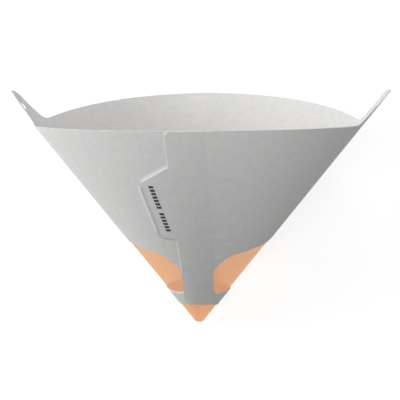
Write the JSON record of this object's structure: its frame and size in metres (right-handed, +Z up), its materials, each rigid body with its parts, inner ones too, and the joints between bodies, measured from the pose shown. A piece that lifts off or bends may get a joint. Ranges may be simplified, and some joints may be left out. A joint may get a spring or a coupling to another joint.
{
  "type": "paint strainer",
  "caption": "Folded paper cone with a nylon mesh filter and two punched hanging ears, for straining paint",
  "frame": {"origin": "middle of the covered floor area, on the floor the strainer lies on", "axes": "+X towards the right-hand ear, seen from the lap side; -Y towards the cone's tip; +Z up from the flat of the back wall that it lies on"},
  "size_m": [0.2088, 0.149, 0.1342],
  "materials": {
    "paper": "matte",
    "gauze": "matte"
  },
  "bodies": {
    "root": {"paper_cone": "paper", "filter_gauze": "gauze"}
  },
  "joints": []
}
